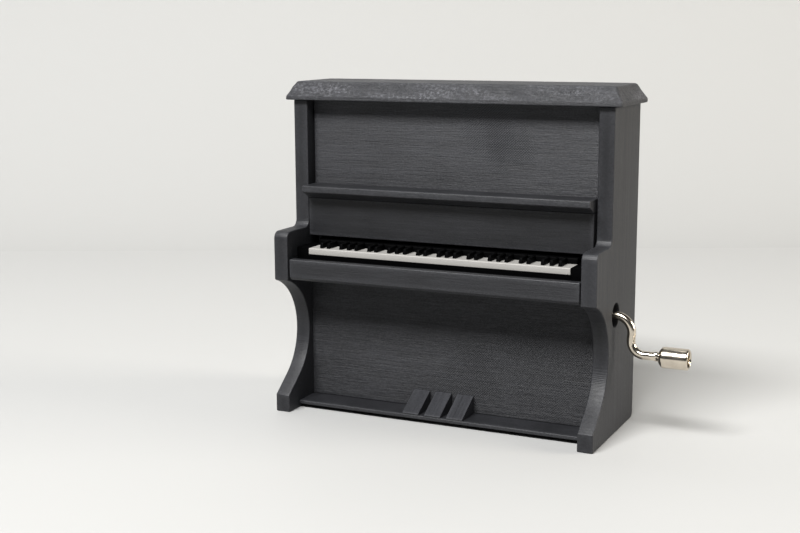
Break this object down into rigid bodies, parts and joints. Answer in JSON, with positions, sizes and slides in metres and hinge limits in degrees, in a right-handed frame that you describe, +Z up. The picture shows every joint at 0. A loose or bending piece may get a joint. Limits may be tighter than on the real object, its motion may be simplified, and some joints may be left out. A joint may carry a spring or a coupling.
{
  "type": "miniature upright piano with hand-cranked music movement",
  "caption": "Small printed upright piano case with fixed keys, music shelf and pedal wedges; a wire crank on the right side turns a music movement inside.",
  "frame": {"origin": "bottom centre of the whole object's bounding box, lid overhang and crank knob included, on the floor", "axes": "+X to the crank side (the pianist's right), +Y from the keyboard to the back, +Z up"},
  "size_m": [0.136, 0.0434, 0.1091],
  "materials": {
    "print_grey": "fine layer lines, matt dark grey",
    "key_white": "satin ivory white",
    "key_black": "satin black",
    "nickel": "bright nickel plate",
    "steel": "fine brushed",
    "zinc": "as-cast zinc alloy",
    "brass": "satin brass"
  },
  "bodies": {
    "case": {"left_cheek": "print_grey", "right_cheek": "print_grey", "lid": "print_grey", "upper_panel": "print_grey", "music_shelf": "print_grey", "fallboard": "print_grey", "left_post": "print_grey", "right_post": "print_grey", "key_slip": "print_grey", "key_block": "key_black", "white_keys": "key_white", "black_keys": "key_black", "lower_panel": "print_grey", "bottom_board": "print_grey", "back_panel": "print_grey", "left_pedal": "print_grey", "middle_pedal": "print_grey", "right_pedal": "print_grey", "rear_posts": "print_grey", "back_screws": "steel", "key_bed": "print_grey", "frame_screws": "steel", "movement_frame": "zinc", "comb": "steel", "comb_screws": "steel"},
    "crank": {"worm_shaft": "steel", "shaft_clip": "steel", "crank": "nickel", "knob_rivet": "nickel"},
    "knob": {"knob": "nickel"},
    "drum": {"cylinder": "brass", "arbor": "steel", "worm_wheel": "brass"}
  },
  "joints": [
    {"name": "crank_spin", "type": "hinge", "parent": "case", "child": "crank", "pos_m": [0.04215, -0.00055, 0.0385], "axis": [1, 0, 0], "continuous": true},
    {"name": "cylinder_spin", "type": "hinge", "parent": "case", "child": "drum", "pos_m": [0.02565, 0.01015, 0.0321], "axis": [0, 1, 0], "continuous": true},
    {"name": "knob_spin", "type": "hinge", "parent": "crank", "child": "knob", "pos_m": [0.06265, -0.00055, 0.0267], "axis": [1, 0, 0], "continuous": true}
  ],
  "couplings": [
    {"joint": "cylinder_spin", "follows": "crank_spin", "ratio": -0.05}
  ]
}
